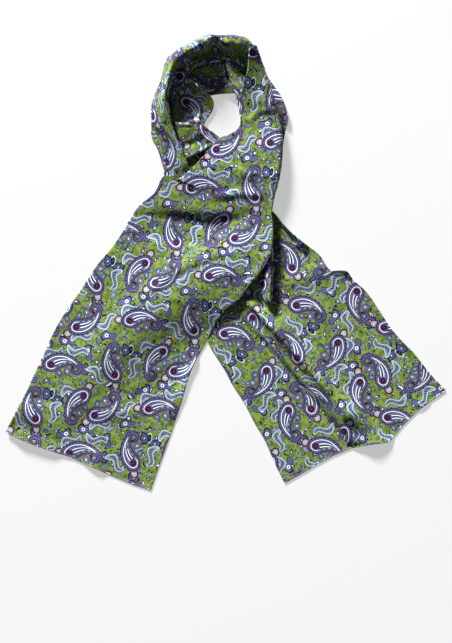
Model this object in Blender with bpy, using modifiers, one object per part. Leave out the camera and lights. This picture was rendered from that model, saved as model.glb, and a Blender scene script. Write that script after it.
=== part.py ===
"""Silk paisley scarf, laid out flat in a loop with its two tails crossed.

The cloth is one long rectangle of silk twill.  It lies on a table: the front tail
comes up from the lower left, passes over the crossing and goes up the right side
of the loop, the cloth then folds round the back of the neck and down the left
side, and it leaves under the crossing as the second tail, to the lower right.

Every stretch is a thin wall, lofted through sections that are written in the
tables below.  A section names its two (or three) edge points on a plan drawing
of the scarf, in layout units, and their heights in millimetres.
"""

import math
from collections import namedtuple

import bmesh
import bpy
import numpy as np
from mathutils import Vector

for old in list(bpy.data.objects):
    bpy.data.objects.remove(old, do_unlink=True)

# Driving dimensions, in metres.
UNIT = 0.00162            # one unit of the plan drawing
MM = 0.001                # heights in the tables are millimetres
WALL = 0.0016             # thickness of the cloth wall
SEAM_GAP = 0.0003         # between stretches that follow each other
REST = WALL / 2           # height of the wall's middle where it lies on the table
SETTLE = 0.0012           # how softly a ripple leaves the table
FOLD_RADIUS = 0.0022      # middle radius of a folded edge
TUCK = 0.009              # how far a folded edge runs back underneath
HEM_RADIUS = 0.0014       # rolled hem along the short ends
CENTRE_X = 0.00015        # puts the origin at the middle of the scarf's extent
CENTRE_Y = 0.0023
VIEW_X = 1.0              # the plan drawing is seen from above this point, in layout units
VIEW_Y = -59.5
VIEW_HEIGHT = 2.4         # and from this height, so a raised point is drawn further out than it is
COLLECTION = "silk_paisley_scarf"

GREEN = (0.135, 0.210, 0.030, 1.0)
HEM_GREEN = (0.110, 0.170, 0.028, 1.0)

# A section between two edges: a on the left, b on the right when walking along
# the strip.  x, y in layout units, z in millimetres above the resting height.
Row = namedtuple("Row", "name ax ay az bx by bz")

# A section of the raised neck: foot outside, brow on top, lip towards the hole.
Brow = namedtuple("Brow", "name fx fy fz cx cy cz lx ly lz")

# A ripple: a soft ridge along a line of points (x, y, height), or a trough where
# the height is negative, with its half widths to the left and right of the line.
Ripple = namedtuple("Ripple", "name left right line")

FRONT = (
    Row("hem",          -220, -170,  6.0,  -75, -228, -2.0),
    Row("above_hem",    -211, -152,  5.0,  -68, -208, -4.0),
    Row("low",          -200, -131,  4.0,  -60, -186, -4.0),
    Row("low_middle",   -184.5, -97.5,  4.0,  -46, -146, -2.0),
    Row("middle",       -168,  -63,  4.0,  -35, -110, -1.0),
    Row("high_middle",  -147.3, -32,  4.0,  -20,  -81.5,  0.6),
    Row("over_apex",    -129.5, -5,  4.0,   -5,  -54,  5.5),
    Row("under_ridge",  -110,   19,  4.2,   12,  -40,  8.0),
    Row("ridge",       -96.5,   41,  5.0,   25,  -22, 10.0),
    Row("valley",        -87,   55,  6.5,   37,   -8, 12.0),
    Row("rise",        -73.5,   67,  9.5,   45,    9, 14.5),
    Row("notch",         -62,   85, 13.0,   47,   30, 17.0),
    Row("crossing",      -48,   82, 16.0,   46,   48, 19.5),
    Row("panel_low",     -35,   92, 18.5, 48.5,   64, 22.0),
    Row("panel",         -22,  106, 19.5, 52.5,   78, 24.0),
    Row("panel_high",    -12,  118, 19.0, 55.3,   92, 25.0),
)

RIGHT = (
    Row("hole_low",       -4,  124, 18.0, 56.5,  104, 25.0),
    Row("hole_corner",     6,  128, 17.0, 57,  114, 24.0),
    Row("hole_side",      13,  134, 16.5, 56.5,  125, 23.0),
    Row("side_low",       15,  144, 16.5, 55,  140, 22.0),
    Row("side",           15,  154, 17.5, 52,  152, 22.0),
    Row("side_high",      13,  163, 20.0, 48.5,  163, 23.0),
    Row("shoulder",       16,  174, 26.0, 45.5,  173, 26.0),
    Row("edge_low",       21,  190, 33.0, 39,  190, 29.0),
    Row("edge",         22.5,  205, 40.0, 34.5,  204, 36.0),
    Row("tip",          23.5,  217, 46.0, 30.5,  215.5, 44.0),
)

UNDER = (
    Row("hem",            58, -221, -4.0,  219, -129, -3.0),
    Row("above_hem",    49.5, -204, -4.0,  204, -113, -4.0),
    Row("low",          38.5, -179, -4.0, 187.5, -92, -4.0),
    Row("low_middle",   28.5, -162, -4.0, 175.5, -80, -3.0),
    Row("middle",       17.5, -141, -4.0, 164.5, -67, -2.5),
    Row("high_middle",   6.5, -124, -4.0, 155,  -52.5, -2.0),
    Row("upper",          -2, -108, -4.0,  141,  -32,  0.0),
    Row("apex",          -13,  -91, -4.0,  128,  -20,  1.0),
    Row("bump",          -18,  -82, -4.0,  120,  -10,  1.0),
    Row("dip",           -23,  -72, -4.0,  104,   -9,  0.5),
    Row("shaded",        -29,  -60, -4.0,   93,    6,  0.0),
    Row("hollow",        -40,  -38, -4.0,   76,   19.5, -2.0),
    Row("rim",           -48,  -13, -4.0,   61,   33, -3.0),
    Row("under_edge",    -56,   12, -4.0,   48,   48, -4.0),
    Row("hidden_low",    -61,   38, -4.0,   32,   64, -4.0),
    Row("hidden",        -63,   64, -4.0,   11,   88, -4.0),
    Row("hidden_top",    -62,   90, -4.0,  -13,  115, -4.0),
)

LOWER_NECK = (
    Row("left_end",      -62,   90, -4.0,  -13,  115, -4.0),
    Row("left_low",      -68,  110, -4.0,  -26,  130, -4.0),
    Row("left_sliver",   -74,  122, -4.0,  -36,  141, -4.0),
    Row("left_side",     -75,  134, -4.0,  -44,  150, -4.0),
    Row("left_high",     -73,  150, -4.0,  -41,  162, -4.0),
    Row("left_shoulder", -67,  165, -4.0,  -35,  172, -4.0),
    Row("left_top",      -59,  181, -4.0,  -28,  180, -4.0),
    Row("top_left",      -49,  196, -4.0,  -20,  184, -4.0),
    Row("top_mid_left",  -33,  208, -4.0,  -11,  186, -4.0),
    Row("top",           -12,  214, -4.0,   -2,  186, -4.0),
    Row("top_right",      10,  211, -4.0,    7,  183, -4.0),
    Row("right_top",      26,  202, -4.0,   14,  178, -4.0),
    Row("right_shoulder", 38,  189, -4.0,   20,  170, -4.0),
    Row("right_high",     48,  175, -4.0,   24,  159, -4.0),
    Row("right_sliver",   57,  161, -4.0,   26,  147, -4.0),
    Row("right_side",     62,  143, -4.0,   26,  135, -4.0),
    Row("right_low",      59,  128, -4.0,   27,  122, -4.0),
    Row("right_low_edge", 56,  110, -4.0,   27,  106, -4.0),
    Row("right_end",      51,   88, -4.0,   24,   90, -4.0),
)

NECK_LEFT = (
    Brow("hidden_end",  -48,  78,  4.0,  -42,  83,  8.0,  -36,  87,  7.0),
    Brow("low",         -58,  91,  2.8,  -46,  96, 14.5,  -38,  96, 13.5),
    Brow("low_middle",  -63.5, 110,  2.5,  -50, 112, 17.5,  -44, 112, 16.5),
    Brow("middle",      -68.5, 124,  3.0,  -56, 124, 20.0,  -50, 125, 19.0),
    Brow("high_middle", -74, 138,  9.0,  -62, 138, 24.0,  -55, 140, 23.0),
    Brow("side",        -75, 153,  5.0,  -64, 153, 27.0,  -57, 154, 26.0),
    Brow("shoulder",    -71, 167,  3.5,  -63, 165, 30.0,  -58, 166, 29.0),
    Brow("high",        -67, 176,  3.5,  -60, 175, 33.0,  -55, 177, 31.5),
    Brow("high_turn",   -64, 186,  3.5,  -58, 186, 36.0,  -52, 186, 33.5),
    Brow("corner",      -61, 198,  3.5,  -56, 197, 39.0,  -49, 193, 33.0),
)

NECK_BACK = (
    Brow("turn",        -57, 205,  3.5,  -53, 203, 41.0,  -43, 194, 31.0),
    Brow("left",        -50, 211,  3.5,  -47, 209, 43.0,  -36, 196, 29.0),
    Brow("mid_left",    -39, 217,  3.5,  -37, 215, 44.0,  -29, 200, 27.5),
    Brow("back_left",   -27, 223,  3.5,  -26, 220.5, 45.0, -21, 203, 26.5),
    Brow("back",        -14, 227,  3.5,  -14, 224.5, 46.0, -11, 204, 26.0),
    Brow("back_right",    1, 226.5, 3.5,   0, 224, 45.0,    0, 201, 25.0),
    Brow("mid_right",    13, 225,  3.5,   12, 222.5, 43.0,  9, 199.5, 23.5),
    Brow("right",        21.5, 222,  3.5,   20, 220, 38.0,   15, 196, 22.0),
    Brow("fold",         27, 216,  3.5,   25, 214, 31.0,   21, 193, 20.0),
    Brow("under_fold",   33, 205,  3.5,   30, 204, 23.0,   25, 189, 17.0),
    Brow("hidden_end",   39, 192,  3.5,   36, 191, 15.0,   29, 184, 13.0),
)

FOLD_UPPER = (
    Row("left_end",   -62, 167.0, 13.0, -53, 165.0, 15.0),
    Row("lobe_low",   -61, 177.0, 13.5, -46, 172.0, 16.0),
    Row("lobe",       -57, 185.0, 14.0, -42, 180.0, 17.0),
    Row("lobe_high",  -54, 192.0, 15.0, -37, 187.0, 17.5),
    Row("left",       -48, 200.0, 16.0, -32, 193.0, 17.5),
    Row("mid_left",   -37, 206.0, 16.0, -25, 196.0, 17.0),
    Row("back",       -22, 212.0, 16.0, -14, 198.5, 16.5),
    Row("mid_right",   -3, 212.0, 15.5,   0, 198.0, 15.5),
    Row("right",       12, 210.0, 14.0,  11, 195.0, 14.0),
    Row("right_end",   22, 203.0, 12.4,  20, 189.0, 12.6),
)

FOLD_BACK = (
    Row("left_end",   -35, 188,  5.0, -25, 169,  2.2),
    Row("left",       -28, 192,  7.0, -19, 165.5, 2.4),
    Row("mid_left",   -18, 195,  8.0, -10, 166.5, 3.2),
    Row("middle",      -7, 197,  8.0,  -1, 167.5, 3.6),
    Row("mid_right",    4, 196,  8.0,   8, 168,  4.2),
    Row("right",       15, 192,  7.0,  16, 168,  4.8),
    Row("right_end",   23, 186,  5.8,  22, 166,  4.8),
)

FOLD_LEFT = (
    Row("top",        -53, 182,  8.2, -35, 182,  9.0),
    Row("ridge",      -57, 174,  8.0, -28, 174,  8.8),
    Row("corner",     -61, 167,  7.6, -19, 168,  8.6),
    Row("hole_top",   -64, 160,  7.0, -13.5, 162, 8.0),
    Row("hole_side",  -65, 153,  6.0, -12.5, 155, 6.6),
    Row("hole_low",   -65, 146,  5.0, -15, 148,  5.4),
    Row("under_rim",  -62, 139,  3.8, -20, 141,  4.6),
    Row("bottom",     -60, 132,  3.4, -23, 134,  4.2),
)

FOLD_FRONT = (
    Row("left_end",   -55, 110,  5.0, -60, 140, 11.2),
    Row("left",       -47, 102,  5.0, -53, 139.5, 11.6),
    Row("mid_left",   -37, 103,  6.5, -44, 138.5, 11.4),
    Row("middle",     -28, 107,  7.5, -35, 141.5, 11.4),
    Row("peak",       -21, 112,  8.0, -29, 143.5, 11.3),
    Row("mid_right",  -15, 115,  8.0, -23, 136, 10.6),
    Row("right",       -8, 115,  8.0, -15, 130, 10.2),
    Row("right_end",   -1, 115,  8.0, -6.5, 123.5, 9.8),
)

TUCK_ROWS = (
    Row("top",         33,  40,  9.5,  47,    43, 12.4),
    Row("upper",       31,  22,  8.0,  47.5,  24, 11.6),
    Row("middle_high", 31,   6,  6.5,  47,     6, 11.5),
    Row("middle",      32, -10,  5.5,  47,   -12, 11.0),
    Row("lower",       34, -26,  5.5,  46.5, -28, 10.4),
    Row("end",         38, -39,  6.5,  46,   -42,  8.9),
)

FRONT_RIPPLES = (
    Ripple("long_crest", 28, 52, ((38, 0, 7), (-35, -28, 11), (-82, -62, 12), (-135, -118, 6))),
    Ripple("cross_valley", 24, 18, ((-84, 46, -2), (-50, 42, -7), (-10, 36, -9), (14, 44, -4))),
    Ripple("corner_roll", 20, 18, ((-212, -150, 9), (-186, -157, 8), (-160, -166, 3))),
    Ripple("corner_lift", 16, 16, ((-205, -178, 5), (-178, -188, 4))),
    Ripple("hem_wave", 16, 18, ((-132, -210, 6), (-122, -178, 3))),
    Ripple("edge_lift", 16, 14, ((-30, -104, 8), (-52, -156, 5))),
)

UNDER_RIPPLES = (
    Ripple("pleat_right", 28, 10, ((16, -36, 4), (50, -70, 15), (84, -109, 14), (120, -150, 13))),
    Ripple("pleat_hem", 32, 22, ((124, -154, 8), (151, -188, 20))),
    Ripple("pleat_left", 10, 28, ((6, -64, 3), (33, -89, 10), (65, -128, 10), (104, -180, 9))),
    Ripple("edge_bump", 14, 12, ((113, -26, 6), (122, -11, 9))),
    Ripple("shaded_rise", 14, 16, ((66, -20, 7), (96, -12, 5))),
    Ripple("raised_rim", 10, 9, ((57, 42, 10), (78, 17, 8))),
    Ripple("corner_wave", 18, 16, ((182, -128, 5), (206, -150, 6))),
)


LOWER_RIPPLES = (
    Ripple("left_sliver", 8, 7, ((-76, 145, 5), (-77, 130, 6), (-72, 117, 4))),
    Ripple("right_sliver", 13, 12, ((55, 170, 5), (64, 144, 13), (59, 120, 7), (53, 92, 5))),
)

# The front tail lies on the second tail, to the right of this line.
UNDERLAY_EDGE = ((-13, -91), (-29, -60), (-48, -13), (-60, 38), (-62, 84))
UNDERLAY_HEIGHT = 2.0


# Middle radius in millimetres of the roll along the outer side of the crossing
# and of the right side of the loop, by how far up the plan it is.
OUTER_ROLL = ((30, 2.0), (54, 2.4), (72, 6.0), (100, 8.5), (150, 8.0), (173, 6.5), (188, 3.5), (200, 2.0), (217, 1.4))


def underlay(x, y):
    """Height of the second tail's top, where the front tail lies on it."""
    points = sorted((py, px) for px, py in UNDERLAY_EDGE)
    edge = np.interp(y, [p[0] for p in points], [p[1] for p in points])
    beside = min(max((x - edge + 22) / 18, 0.0), 1.0)
    below = min(max((y + 112) / 18, 0.0), 1.0)
    part = min(beside, below)
    return UNDERLAY_HEIGHT * part * part * (3 - 2 * part)


def spline(values, where):
    """Catmull-Rom curve through the rows of an array, at positions 0 to 1."""
    values = np.asarray(values, dtype=float)
    last = len(values) - 1
    padded = np.vstack([2 * values[0] - values[1], values, 2 * values[-1] - values[-2]])
    out = []
    for position in where:
        k = min(int(position * last), last - 1)
        f = position * last - k
        p0, p1, p2, p3 = padded[k:k + 4]
        out.append(0.5 * (2 * p1 + (p2 - p0) * f + (2 * p0 - 5 * p1 + 4 * p2 - p3) * f ** 2
                          + (3 * p1 - p0 - 3 * p2 + p3) * f ** 3))
    return np.array(out)


def along(rows, count):
    """Positions from row to row, spaced by the length of the strip's middle line."""
    middle = np.array([[(r[0][0] + r[-1][0]) / 2, (r[0][1] + r[-1][1]) / 2] for r in rows])
    fine = np.linspace(0, 1, 400)
    line = spline(middle, fine)
    length = np.concatenate([[0], np.cumsum(np.linalg.norm(np.diff(line, axis=0), axis=1))])
    return np.interp(np.linspace(0, length[-1], count), length, fine)


def ripple_height(ripple, x, y):
    """Height in millimetres that one ripple adds at a point of the plan."""
    nearest, height = 1.0, 0.0
    for (x0, y0, h0), (x1, y1, h1) in zip(ripple.line, ripple.line[1:]):
        dx, dy = x1 - x0, y1 - y0
        length = math.hypot(dx, dy)
        t = ((x - x0) * dx + (y - y0) * dy) / length ** 2
        clamped = min(max(t, 0.0), 1.0)
        side = ((x - x0) * dy - (y - y0) * dx) / length
        width = ripple.right if side > 0 else ripple.left
        beyond = (t - clamped) * length
        distance = math.hypot(side / width, beyond / max(ripple.left, ripple.right))
        if distance < nearest:
            nearest, height = distance, h0 + (h1 - h0) * clamped
    return height * math.cos(nearest * math.pi / 2) ** 2


def settled(height):
    """Keep the cloth on or above the table: zero below it, softly blended."""
    if height <= -SETTLE:
        return 0.0
    if height < SETTLE:
        return (height + SETTLE) ** 2 / (4 * SETTLE)
    return height


def edge_points(row):
    """The key points across one section, in layout units and millimetres."""
    if isinstance(row, Row):
        return [(row.ax, row.ay, row.az), (row.bx, row.by, row.bz)]
    return [(row.fx, row.fy, row.fz), (row.cx, row.cy, row.cz), (row.lx, row.ly, row.lz)]


def surface(rows, count_along, count_across, ripples=(), crown=0.0, spread=None, under=None):
    """Grid of points of the cloth's middle surface, [along][across], in metres."""
    keys = [edge_points(row) for row in rows]
    positions = along(keys, count_along)
    columns = [spline([key[c] for key in keys], positions) for c in range(len(keys[0]))]
    across = np.linspace(0, 1, count_across) if spread is None else np.asarray(spread)
    grid = np.zeros((count_along, len(across), 3))
    for i in range(count_along):
        section = spline([column[i] for column in columns], across)
        for j, (x, y, z) in enumerate(section):
            z += 4 * crown * across[j] * (1 - across[j])
            z += sum(ripple_height(ripple, x, y) for ripple in ripples)
            level = under(x, y) if under else 0.0
            height = REST + level * MM + settled((z - level) * MM)
            nearer = 1 - height / VIEW_HEIGHT
            grid[i, j] = ((VIEW_X + (x - VIEW_X) * nearer) * UNIT + CENTRE_X,
                          (VIEW_Y + (y - VIEW_Y) * nearer) * UNIT + CENTRE_Y, height)
    return grid


def fold_edge(grid, side, radius=FOLD_RADIUS, tuck=TUCK, steps=4):
    """Turn one long edge of a grid over and back under itself, as a soft fold."""
    columns = (grid if side == "b" else grid[:, ::-1]).copy()
    width = np.linalg.norm(columns[:, -1] - columns[:, 0], axis=1)
    radii = np.minimum(radius, width * 0.2)[:, None]
    tucks = np.minimum(tuck, width * 0.2)[:, None]
    outward = columns[:, -1] - columns[:, -2]
    outward[:, 2] = 0
    outward /= np.linalg.norm(outward, axis=1)[:, None]
    smooth = outward.copy()
    smooth[1:-1] = outward[:-2] + 2 * outward[1:-1] + outward[2:]
    outward = smooth / np.linalg.norm(smooth, axis=1)[:, None]
    up = np.array([0, 0, 1.0])
    columns[:, -1] -= outward * radii
    columns[:, -1, 2] = np.maximum(columns[:, -1, 2], REST + 2 * radii[:, 0])
    reach = np.einsum("ij,ij->i", columns[:, -1] - columns[:, -2], outward)
    for row in np.nonzero(reach < 0.0015)[0]:
        crowded = columns[row] @ outward[row] > columns[row, -1] @ outward[row] - 0.0015
        last_clear = max(int(np.nonzero(~crowded)[0][-1]), 0)
        spread = len(columns[row]) - 1 - last_clear
        for step in range(1, spread):
            part = step / spread
            columns[row, last_clear + step] = (columns[row, last_clear] * (1 - part)
                                               + columns[row, -1] * part)
    edge = columns[:, -1]
    added = []
    for k in range(1, steps + 1):
        angle = math.pi * k / steps
        added.append(edge + radii * (outward * math.sin(angle) + up * (math.cos(angle) - 1)))
    for part in (0.5, 1.0):
        added.append(added[steps - 1] - outward * tucks * part)
    folded = np.concatenate([columns, np.stack(added, axis=1)], axis=1)
    return folded if side == "b" else folded[:, ::-1]


def trim(grid, at_start=0.0, at_end=0.0):
    """Shorten a strip by a distance at either end, for the gap to the next one."""
    grid = grid.copy()
    if at_start:
        step = grid[1] - grid[0]
        grid[0] += step / np.linalg.norm(step, axis=1)[:, None] * at_start
    if at_end:
        step = grid[-2] - grid[-1]
        grid[-1] += step / np.linalg.norm(step, axis=1)[:, None] * at_end
    return grid


def material(name, colour, roughness):
    """Principled cloth material."""
    made = bpy.data.materials.new(name)
    made.use_nodes = True
    shader = made.node_tree.nodes["Principled BSDF"]
    shader.inputs["Base Color"].default_value = colour
    shader.inputs["Roughness"].default_value = roughness
    shader.inputs["Metallic"].default_value = 0.0
    return made


def add_object(name, mesh, colour=GREEN, roughness=0.45):
    """Link a mesh to the scarf's collection with its own material."""
    made = bpy.data.objects.new(name, mesh)
    parts.objects.link(made)
    mesh.materials.append(material(name + "_silk", colour, roughness))
    return made


def cloth(name, grid, colour=GREEN):
    """Thin wall of cloth on a grid of points, pressed flat where it meets the table."""
    rows, columns = grid.shape[:2]
    vertices = [tuple(point) for line in grid for point in line]
    faces = []
    for i in range(rows - 1):
        for j in range(columns - 1):
            corner = i * columns + j
            faces.append((corner, corner + 1, corner + columns + 1, corner + columns))
    sheet = bpy.data.meshes.new(name)
    sheet.from_pydata(vertices, [], faces)
    made = add_object(name, sheet, colour)
    shell = made.modifiers.new("wall", "SOLIDIFY")
    shell.thickness = WALL
    shell.offset = 0.0
    shell.use_even_offset = True
    shell.use_quality_normals = True
    bpy.context.view_layer.update()
    evaluated = made.evaluated_get(bpy.context.evaluated_depsgraph_get())
    wall = bpy.data.meshes.new_from_object(evaluated)
    made.modifiers.clear()
    made.data = wall
    bpy.data.meshes.remove(sheet)
    for vertex in wall.vertices:
        if vertex.co.z < 0.00008:
            vertex.co.z = 0.0
    wall.name = name
    turn_outward(wall)
    wall.shade_smooth()
    wall.set_sharp_from_angle(angle=math.radians(50))
    return made


def turn_outward(mesh):
    """Make the faces of a closed mesh point out of it."""
    volume = 0.0
    mesh.calc_loop_triangles()
    for triangle in mesh.loop_triangles:
        a, b, c = (mesh.vertices[v].co for v in triangle.vertices)
        volume += a.dot(b.cross(c))
    if volume < 0:
        mesh.flip_normals()


def rolled_hem(name, edge, outward):
    """Round hem along the short end of a tail, just clear of the wall's edge."""
    curve = bpy.data.curves.new(name, "CURVE")
    curve.dimensions = "3D"
    curve.bevel_depth = HEM_RADIUS
    curve.bevel_resolution = 1
    curve.use_fill_caps = True
    line = curve.splines.new("POLY")
    line.points.add(len(edge) - 1)
    reach = HEM_RADIUS + 2 * SEAM_GAP
    for point, place in zip(line.points, edge):
        centre = Vector(place) + Vector(outward) * reach
        centre.z = max(centre.z, HEM_RADIUS)
        point.co = (*centre, 1.0)
    guide = bpy.data.objects.new(name + "_line", curve)
    parts.objects.link(guide)
    bpy.context.view_layer.update()
    evaluated = guide.evaluated_get(bpy.context.evaluated_depsgraph_get())
    mesh = bpy.data.meshes.new_from_object(evaluated)
    bpy.data.objects.remove(guide, do_unlink=True)
    weld_caps(mesh)
    mesh.materials.clear()
    made = add_object(name, mesh, HEM_GREEN, 0.5)
    mesh.name = name
    turn_outward(mesh)
    mesh.shade_smooth()
    return made


def weld_caps(mesh):
    """Join a tube to its end caps."""
    work = bmesh.new()
    work.from_mesh(mesh)
    bmesh.ops.remove_doubles(work, verts=work.verts, dist=0.00001)
    work.to_mesh(mesh)
    work.free()


def bulge_hem(grid, start, end, amounts):
    """Push the short end of a tail outward, where the hem line bows."""
    grid = grid.copy()
    first, last = grid[0, 0, :2], grid[0, -1, :2]
    chord = (last - first) / np.linalg.norm(last - first)
    outward = np.array([chord[1], -chord[0]])
    across = np.linspace(0, 1, grid.shape[1])
    push = np.interp(across, np.linspace(0, 1, len(amounts)), amounts) * UNIT
    for i in range(start, end):
        fade = 1 - (i - start) / (end - start)
        grid[i, :, :2] += outward * (push * fade)[:, None]
    return grid


parts = bpy.data.collections.new(COLLECTION)
bpy.context.scene.collection.children.link(parts)

# Distance, in layout units, by which each hem line bows out between its corners.
FRONT_HEM_BOW = (0, 1.5, 1.5, 0.6, -1.0, 0.2, 1.0, 1.0, 1.2, 0)
UNDER_HEM_BOW = (0, 0.2, -0.4, 0.2, 2.4, 9, 16.5, 9, 4, 1.5, 0)

long_strip = surface(FRONT + RIGHT, 46, 17, FRONT_RIPPLES, under=underlay)
long_strip = bulge_hem(long_strip, 0, 4, FRONT_HEM_BOW)
front_hem_line = long_strip[0].copy()
notch = [row.name for row in FRONT].index("notch") / (len(FRONT + RIGHT) - 1)
split = int(np.searchsorted(along([edge_points(row) for row in FRONT + RIGHT], 46), notch))
long_strip = fold_edge(long_strip, "a", radius=0.0018)
cloth("front_tail", trim(long_strip[:split + 1], at_end=SEAM_GAP))
right = long_strip[split:]
right = np.concatenate([right[:, :7], right[:, 8::2]], axis=1)
roll = np.interp(right[:, -1, 1] / UNIT, *zip(*OUTER_ROLL)) * MM
cloth("neck_right", trim(fold_edge(right, "b", radius=roll, tuck=0.010, steps=6), at_start=4 * SEAM_GAP))

under = surface(UNDER, 30, 27, UNDER_RIPPLES)
under = bulge_hem(under, 0, 5, UNDER_HEM_BOW)
cloth("under_tail", trim(under, at_end=SEAM_GAP))

cloth("neck_lower", trim(surface(LOWER_NECK, 30, 7, LOWER_RIPPLES), at_start=SEAM_GAP))
neck = fold_edge(surface(NECK_LEFT + NECK_BACK, 31, 8), "b", tuck=0.006)
cloth("neck_left", trim(neck[:15], at_end=SEAM_GAP))
cloth("neck_back", trim(neck[14:], at_start=SEAM_GAP))
cloth("fold_upper", fold_edge(surface(FOLD_UPPER, 14, 5), "b", tuck=0.005))
cloth("fold_back", fold_edge(surface(FOLD_BACK, 9, 7), "b", radius=0.0012, tuck=0.003))
cloth("fold_left", fold_edge(surface(FOLD_LEFT, 11, 8), "b", radius=0.0018, tuck=0.006))
cloth("fold_front", fold_edge(surface(FOLD_FRONT, 11, 7), "b", tuck=0.006))
cloth("front_tuck", fold_edge(surface(TUCK_ROWS, 10, 5), "b", tuck=0.006))


def outward_of(line):
    """Level direction out of a hem line, away from the cloth."""
    chord = line[-1] - line[0]
    return Vector((chord[1], -chord[0], 0)).normalized()


rolled_hem("front_hem", front_hem_line, outward_of(front_hem_line))
rolled_hem("under_hem", under[0], outward_of(under[0]))
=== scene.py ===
import math
from collections import namedtuple

import bpy
import numpy as np
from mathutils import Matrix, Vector


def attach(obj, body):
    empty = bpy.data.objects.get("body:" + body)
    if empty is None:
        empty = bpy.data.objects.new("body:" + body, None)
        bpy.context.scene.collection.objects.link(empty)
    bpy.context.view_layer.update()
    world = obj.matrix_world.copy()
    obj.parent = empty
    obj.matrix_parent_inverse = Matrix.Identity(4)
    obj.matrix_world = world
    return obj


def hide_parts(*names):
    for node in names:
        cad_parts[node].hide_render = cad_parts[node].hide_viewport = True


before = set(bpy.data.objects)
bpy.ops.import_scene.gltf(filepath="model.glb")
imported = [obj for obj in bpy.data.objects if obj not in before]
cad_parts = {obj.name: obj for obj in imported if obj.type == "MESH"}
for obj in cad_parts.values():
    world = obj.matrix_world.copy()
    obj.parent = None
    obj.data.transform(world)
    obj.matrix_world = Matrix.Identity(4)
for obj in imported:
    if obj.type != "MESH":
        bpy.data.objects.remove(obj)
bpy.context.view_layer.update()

print("frame loaded:", len(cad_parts), "solids")

# The plan drawing that the CAD is made from: layout units across the page, millimetres of height.
plan = {
    "unit": 0.00162,            # metres in one layout unit
    "centre": (0.00015, 0.0023),  # metres, where the drawing's origin lies in the frame
    "eye": (1.0, -59.5, 2.4),   # the drawing is seen from above this point, so high points stand nearer to it
    "rest": 0.0008,             # height of the CAD wall's middle where it lies on the table
    "settle": 0.0012,           # how softly a ripple leaves the table
    "drop": 0.0004,             # the silk is thinner than the CAD wall, so it lies this much lower
}
silk = {
    "thickness": 0.0006, "hemRadius": 0.0012,
    "sharpCorner": 60,          # degrees
    "torn": 1.6,                # a cell of the print this many times too large is torn by a pleat
}
mm = 0.001

Ripple = namedtuple("Ripple", "left right line")   # half widths beside a line of points x, y, height


def spline(values, where):  # Catmull-Rom through the rows of an array, at positions 0 to 1
    values = np.asarray(values, float)
    last = len(values) - 1
    padded = np.concatenate([[2 * values[0] - values[1]], values, [2 * values[-1] - values[-2]]])
    where = np.asarray(where, float)
    k = np.minimum((where * last).astype(int), last - 1)
    f = (where * last - k).reshape((-1,) + (1,) * (values.ndim - 1))
    p0, p1, p2, p3 = padded[k], padded[k + 1], padded[k + 2], padded[k + 3]
    return 0.5 * (2 * p1 + (p2 - p0) * f + (2 * p0 - 5 * p1 + 4 * p2 - p3) * f ** 2
                  + (3 * p1 - p0 - 3 * p2 + p3) * f ** 3)


def gridSpline(grid, alongAt, acrossAt):  # the same through a grid, both ways
    return spline(spline(grid, alongAt).transpose(1, 0, 2), acrossAt).transpose(1, 0, 2)


def alongLine(rows, where):  # positions along the rows, even along the middle line of the strip
    middle = (rows[:, 0, :2] + rows[:, -1, :2]) / 2
    fine = np.linspace(0, 1, 400)
    steps = np.linalg.norm(np.diff(spline(middle, fine), axis=0), axis=1)
    length = np.concatenate([[0], np.cumsum(steps)])
    return np.interp(np.asarray(where) * length[-1], length, fine)


def eased(part):  # 0 to 1 with a soft start and end
    part = np.clip(part, 0, 1)
    return part * part * (3 - 2 * part)


def unitVectors(lines):
    return lines / np.linalg.norm(lines, axis=1)[:, None]


def rippleHeight(ripple, x, y):  # what one ripple adds, in millimetres
    nearest, height = np.ones_like(x), np.zeros_like(x)
    for (x0, y0, h0), (x1, y1, h1) in zip(ripple.line, ripple.line[1:]):
        dx, dy = x1 - x0, y1 - y0
        length = math.hypot(dx, dy)
        t = ((x - x0) * dx + (y - y0) * dy) / length ** 2
        clamped = np.clip(t, 0, 1)
        side = ((x - x0) * dy - (y - y0) * dx) / length
        width = np.where(side > 0, ripple.right, ripple.left)
        beyond = (t - clamped) * length
        distance = np.hypot(side / width, beyond / max(ripple.left, ripple.right))
        closer = distance < nearest
        nearest = np.where(closer, distance, nearest)
        height = np.where(closer, h0 + (h1 - h0) * clamped, height)
    return height * np.cos(nearest * math.pi / 2) ** 2


def settled(height):  # cloth stays on or above the table
    settle = plan["settle"]
    soft = (height + settle) ** 2 / (4 * settle)
    return np.where(height <= -settle, 0, np.where(height < settle, soft, height))


def slackWaves(x, y, seed, size, wavelength):  # fine slack of the silk, in millimetres
    rng = np.random.default_rng(seed)
    total = np.zeros_like(x)
    for _ in range(9):
        turn, phase = rng.uniform(0, 2 * math.pi, 2)
        pitch = wavelength * rng.uniform(0.6, 1.7)
        bend = 0.6 * np.sin((x * math.sin(turn) - y * math.cos(turn)) / pitch * 1.3 + phase)
        forward = x * math.cos(turn) + y * math.sin(turn)
        total += rng.uniform(0.4, 1) * np.sin(forward / pitch * 2 * math.pi + phase + bend)
    return total * size / 3


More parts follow.
